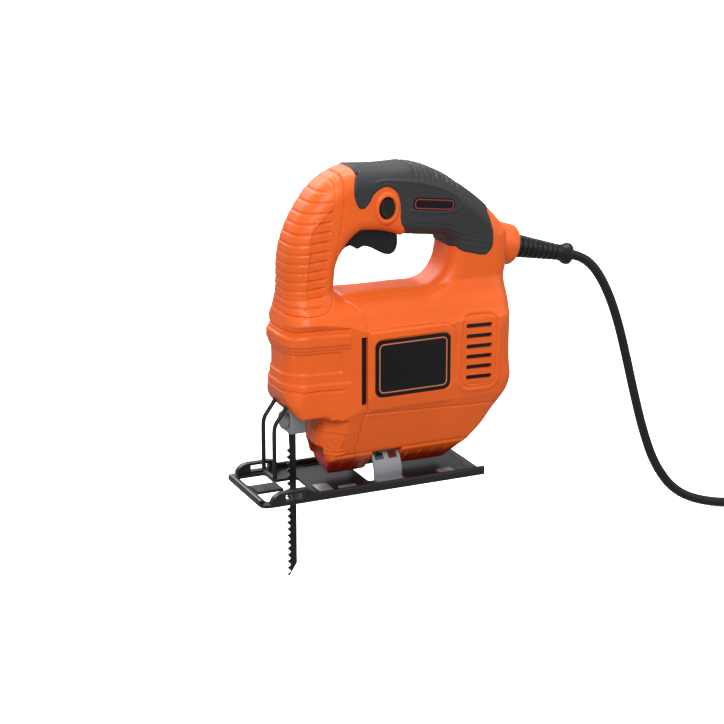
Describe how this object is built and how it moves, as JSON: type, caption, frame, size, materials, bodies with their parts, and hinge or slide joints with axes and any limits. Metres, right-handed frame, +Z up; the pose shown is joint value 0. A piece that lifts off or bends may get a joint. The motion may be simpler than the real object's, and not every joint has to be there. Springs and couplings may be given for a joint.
{
  "type": "jigsaw",
  "caption": "Corded jigsaw with a closed D-handle, soft grip, trigger and lock button, toothed blade, wire guard, tilting pressed-steel sole, geared motor inside, and a free mains cord.",
  "frame": {"origin": "centre of the sole's flat underside, which sits on the workpiece", "axes": "+Z up out of the workpiece along the blade, -X the cutting direction at the blade end, -Y the operator's left side with the lock button"},
  "size_m": [0.438, 0.084, 0.2515],
  "materials": {
    "housing": "satin moulded orange plastic",
    "soft_grip": "matt soft overmould",
    "label": "smooth black plate",
    "black_plastic": "fine moulded grain",
    "rubber_black": "matt",
    "black_steel": "black semi-gloss finish on pressed steel",
    "zinc_steel": "bright zinc plating",
    "bearing_steel": "ground steel",
    "blade_steel": "dark tempered steel",
    "laminated_steel": "stacked laminations",
    "copper": "enamelled copper",
    "brass": "plain",
    "carbon": "sintered carbon",
    "yellow_plastic": "smooth"
  },
  "bodies": {
    "housing": {"housing_left": "housing", "housing_right": "housing", "grip_left": "soft_grip", "grip_right": "soft_grip", "label_plate": "label", "grip_badge": "label", "housing_screws": "zinc_steel", "cord_protector": "rubber_black", "mains_cord": "rubber_black", "cord_coil": "rubber_black", "mains_plug": "rubber_black", "cord_clamp": "black_plastic", "cord_clamp_screws": "zinc_steel", "front_bearing": "bearing_steel", "rear_bearing": "bearing_steel", "field_stack": "laminated_steel", "field_coils": "copper", "brush_holders": "brass", "carbon_brushes": "carbon", "brush_springs": "bearing_steel", "gear_axle": "bearing_steel", "lower_bush": "brass", "upper_bush": "brass", "switch_module": "black_plastic", "trigger_pin": "zinc_steel", "trigger_spring": "bearing_steel", "lock_spring": "bearing_steel", "capacitor": "yellow_plastic", "bevel_saddle": "zinc_steel", "bevel_screws": "zinc_steel", "blade_guard": "black_steel"},
    "sole": {"sole_plate": "black_steel", "bevel_cradle": "zinc_steel"},
    "armature": {"armature_shaft": "bearing_steel", "armature_core": "laminated_steel", "armature_windings": "copper", "commutator": "copper", "cooling_fan": "black_plastic", "motor_pinion": "bearing_steel"},
    "gear": {"drive_gear": "bearing_steel", "crank_roller": "bearing_steel"},
    "plunger": {"plunger_rod": "bearing_steel", "plunger_yoke": "zinc_steel", "blade_clamp": "zinc_steel", "clamp_screw": "zinc_steel", "saw_blade": "blade_steel"},
    "trigger": {"trigger": "black_plastic"},
    "lock_button": {"lock_button": "black_plastic"}
  },
  "joints": [
    {"name": "sole_bevel", "type": "hinge", "parent": "housing", "child": "sole", "pos_m": [0, 0, 0.004], "axis": [1, 0, 0], "range_deg": [-45, 45]},
    {"name": "armature_spin", "type": "hinge", "parent": "housing", "child": "armature", "pos_m": [0, 0, 0.076], "axis": [1, 0, 0], "continuous": true},
    {"name": "gear_spin", "type": "hinge", "parent": "housing", "child": "gear", "pos_m": [0, 0, 0.0985], "axis": [1, 0, 0], "continuous": true},
    {"name": "plunger_stroke", "type": "slide", "parent": "housing", "child": "plunger", "axis": [0, 0, 1], "range_m": [0, 0.016]},
    {"name": "trigger_pull", "type": "hinge", "parent": "housing", "child": "trigger", "pos_m": [-0.0065, 0, 0.152], "axis": [0, -1, 0], "range_deg": [0, 6], "stiffness_Nm_per_rad": 1, "springref_deg": -5.73, "deforming": ["trigger_spring"]},
    {"name": "lock_press", "type": "slide", "parent": "housing", "child": "lock_button", "axis": [0, 1, 0], "range_m": [0, 0.004], "stiffness_N_per_m": 300, "springref_m": -0.003}
  ],
  "couplings": [
    {"joint": "gear_spin", "follows": "armature_spin", "ratio": -0.16667}
  ]
}
